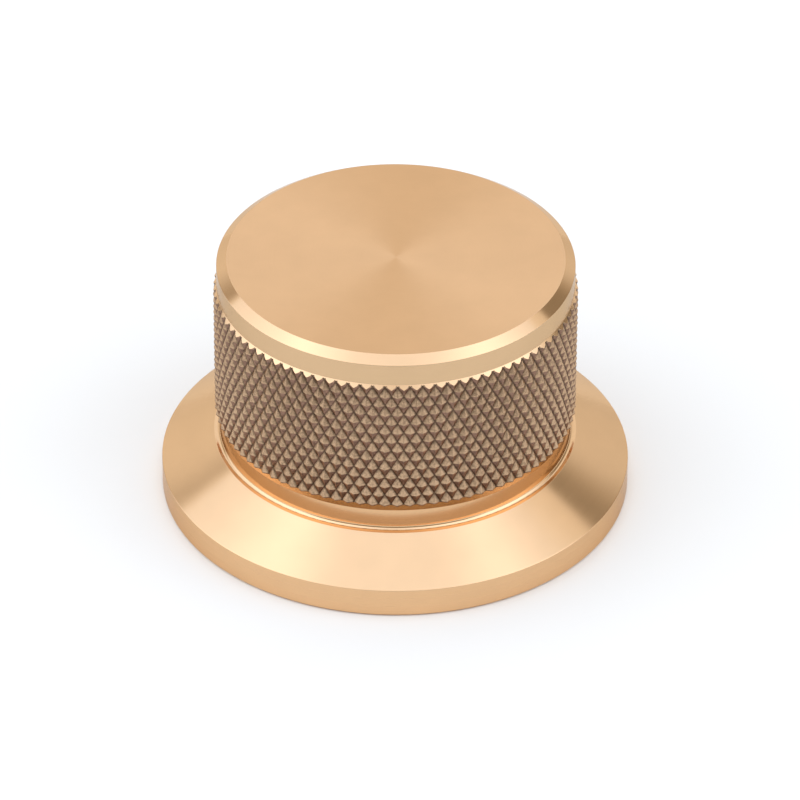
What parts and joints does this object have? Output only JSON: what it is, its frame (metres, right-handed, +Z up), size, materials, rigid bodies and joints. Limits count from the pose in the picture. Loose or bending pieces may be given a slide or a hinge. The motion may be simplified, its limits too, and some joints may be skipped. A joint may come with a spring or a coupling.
{
  "type": "volume knob",
  "caption": "Turned aluminium volume knob with a diamond-knurled grip, a waist and a conical skirt, clamped on a round shaft by a set screw at the back.",
  "frame": {"origin": "centre of the underside, on the turning axis", "axes": "+Z up along the turning axis to the top face, +Y towards the set screw at the back, -Y the front"},
  "size_m": [0.044, 0.044, 0.025],
  "materials": {
    "champagne_aluminium": "anodised champagne gold: turned satin top and land, bright-cut bevels and skirt, matt knurl",
    "screw_steel": "blackened steel"
  },
  "bodies": {
    "root": {"knob_body": "champagne_aluminium", "set_screw": "screw_steel"}
  },
  "joints": []
}
